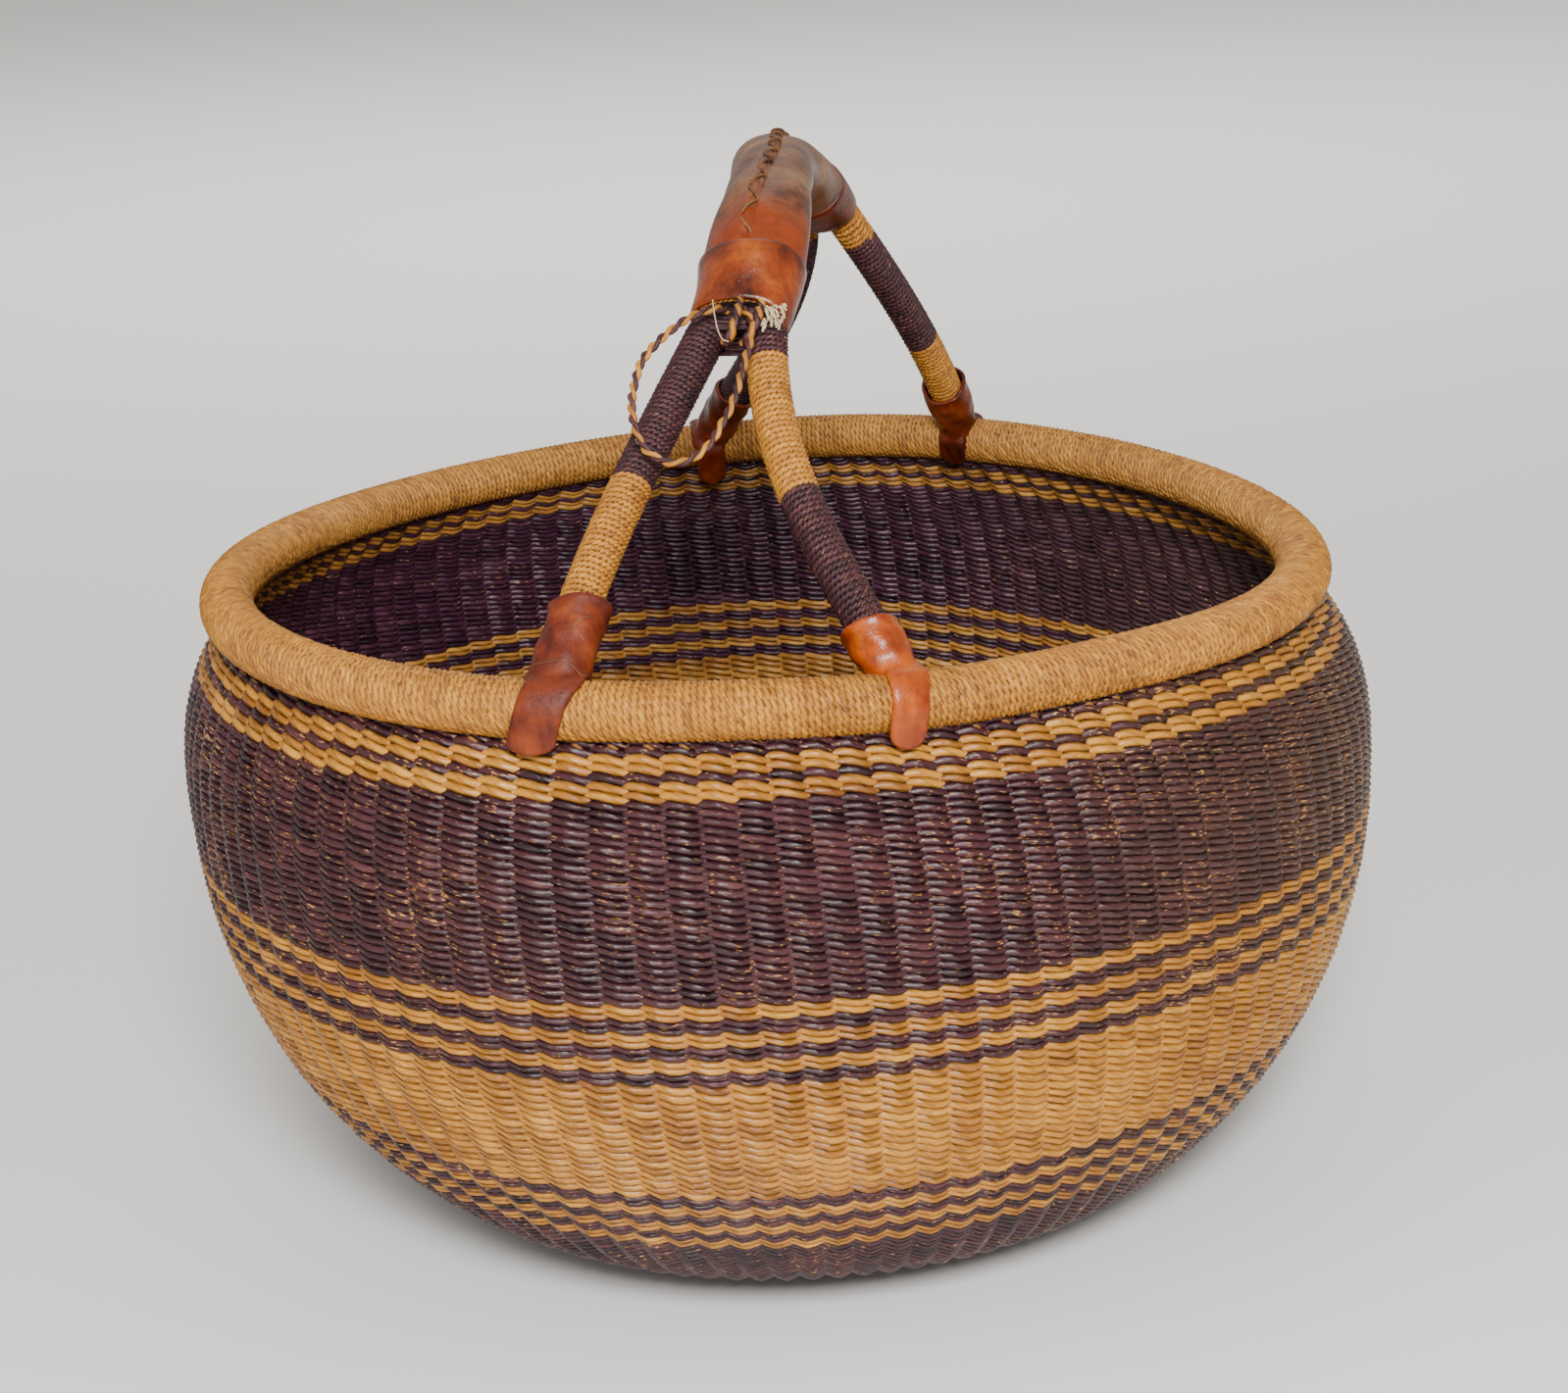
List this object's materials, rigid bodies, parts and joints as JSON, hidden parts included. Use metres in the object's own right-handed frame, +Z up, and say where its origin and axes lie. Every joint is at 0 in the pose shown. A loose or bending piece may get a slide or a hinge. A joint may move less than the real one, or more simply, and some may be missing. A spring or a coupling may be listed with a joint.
{
  "type": "woven market basket",
  "caption": "Round straw market basket with dark and natural stripes, a bound rim, and an arched handle of twine bound legs with a leather grip and leather clasps.",
  "frame": {"origin": "middle of the flat base that the basket rests on", "axes": "+Z up; +Y runs along the handle, away from the grip end that holds the hanging loop; +X to the right seen from that end"},
  "size_m": [0.4371, 0.4244, 0.3823],
  "materials": {
    "natural_straw": "twisted elephant grass, natural golden straw",
    "purple_straw": "twisted elephant grass, dyed dark purple",
    "striped_straw": "twisted elephant grass in narrow purple and natural rows",
    "inner_grass": "bundled grass, untwisted",
    "tan_leather": "worn vegetable tanned goat leather, orange tan",
    "brown_leather": "worn goat leather, dark red brown",
    "lace_leather": "thin leather thong",
    "cord_twine": "two-ply twine of one natural and one purple strand"
  },
  "bodies": {
    "basket": {"base_weave": "purple_straw", "foot_weave": "purple_straw", "lower_purple_weave": "purple_straw", "lower_stripes_weave": "striped_straw", "natural_belly_weave": "natural_straw", "middle_stripes_weave": "striped_straw", "purple_shoulder_weave": "purple_straw", "upper_stripes_weave": "striped_straw", "rim_core": "inner_grass", "rim_binding": "natural_straw", "left_arch_core": "inner_grass", "right_arch_core": "inner_grass", "front_left_purple_twine": "purple_straw", "front_left_natural_twine": "natural_straw", "front_right_purple_upper_twine": "purple_straw", "front_right_natural_twine": "natural_straw", "front_right_purple_lower_twine": "purple_straw", "back_left_natural_upper_twine": "natural_straw", "back_left_purple_upper_twine": "purple_straw", "back_left_purple_lower_twine": "purple_straw", "back_right_natural_upper_twine": "natural_straw", "back_right_purple_twine": "purple_straw", "back_right_natural_lower_twine": "natural_straw", "front_left_clasp": "tan_leather", "front_right_clasp": "tan_leather", "back_left_clasp": "brown_leather", "back_right_clasp": "brown_leather", "grip_packing": "inner_grass", "near_grip_cuff": "tan_leather", "grip_wrapper": "tan_leather", "far_grip_cuff": "brown_leather", "grip_lacing": "lace_leather"},
    "loop": {"hanging_loop": "cord_twine"}
  },
  "joints": [
    {"name": "loop_swing", "type": "hinge", "parent": "basket", "child": "loop", "pos_m": [-0.01163, -0.08259, 0.33566], "axis": [-0.974, 0.2267, 0], "range_deg": [0, 45]}
  ]
}
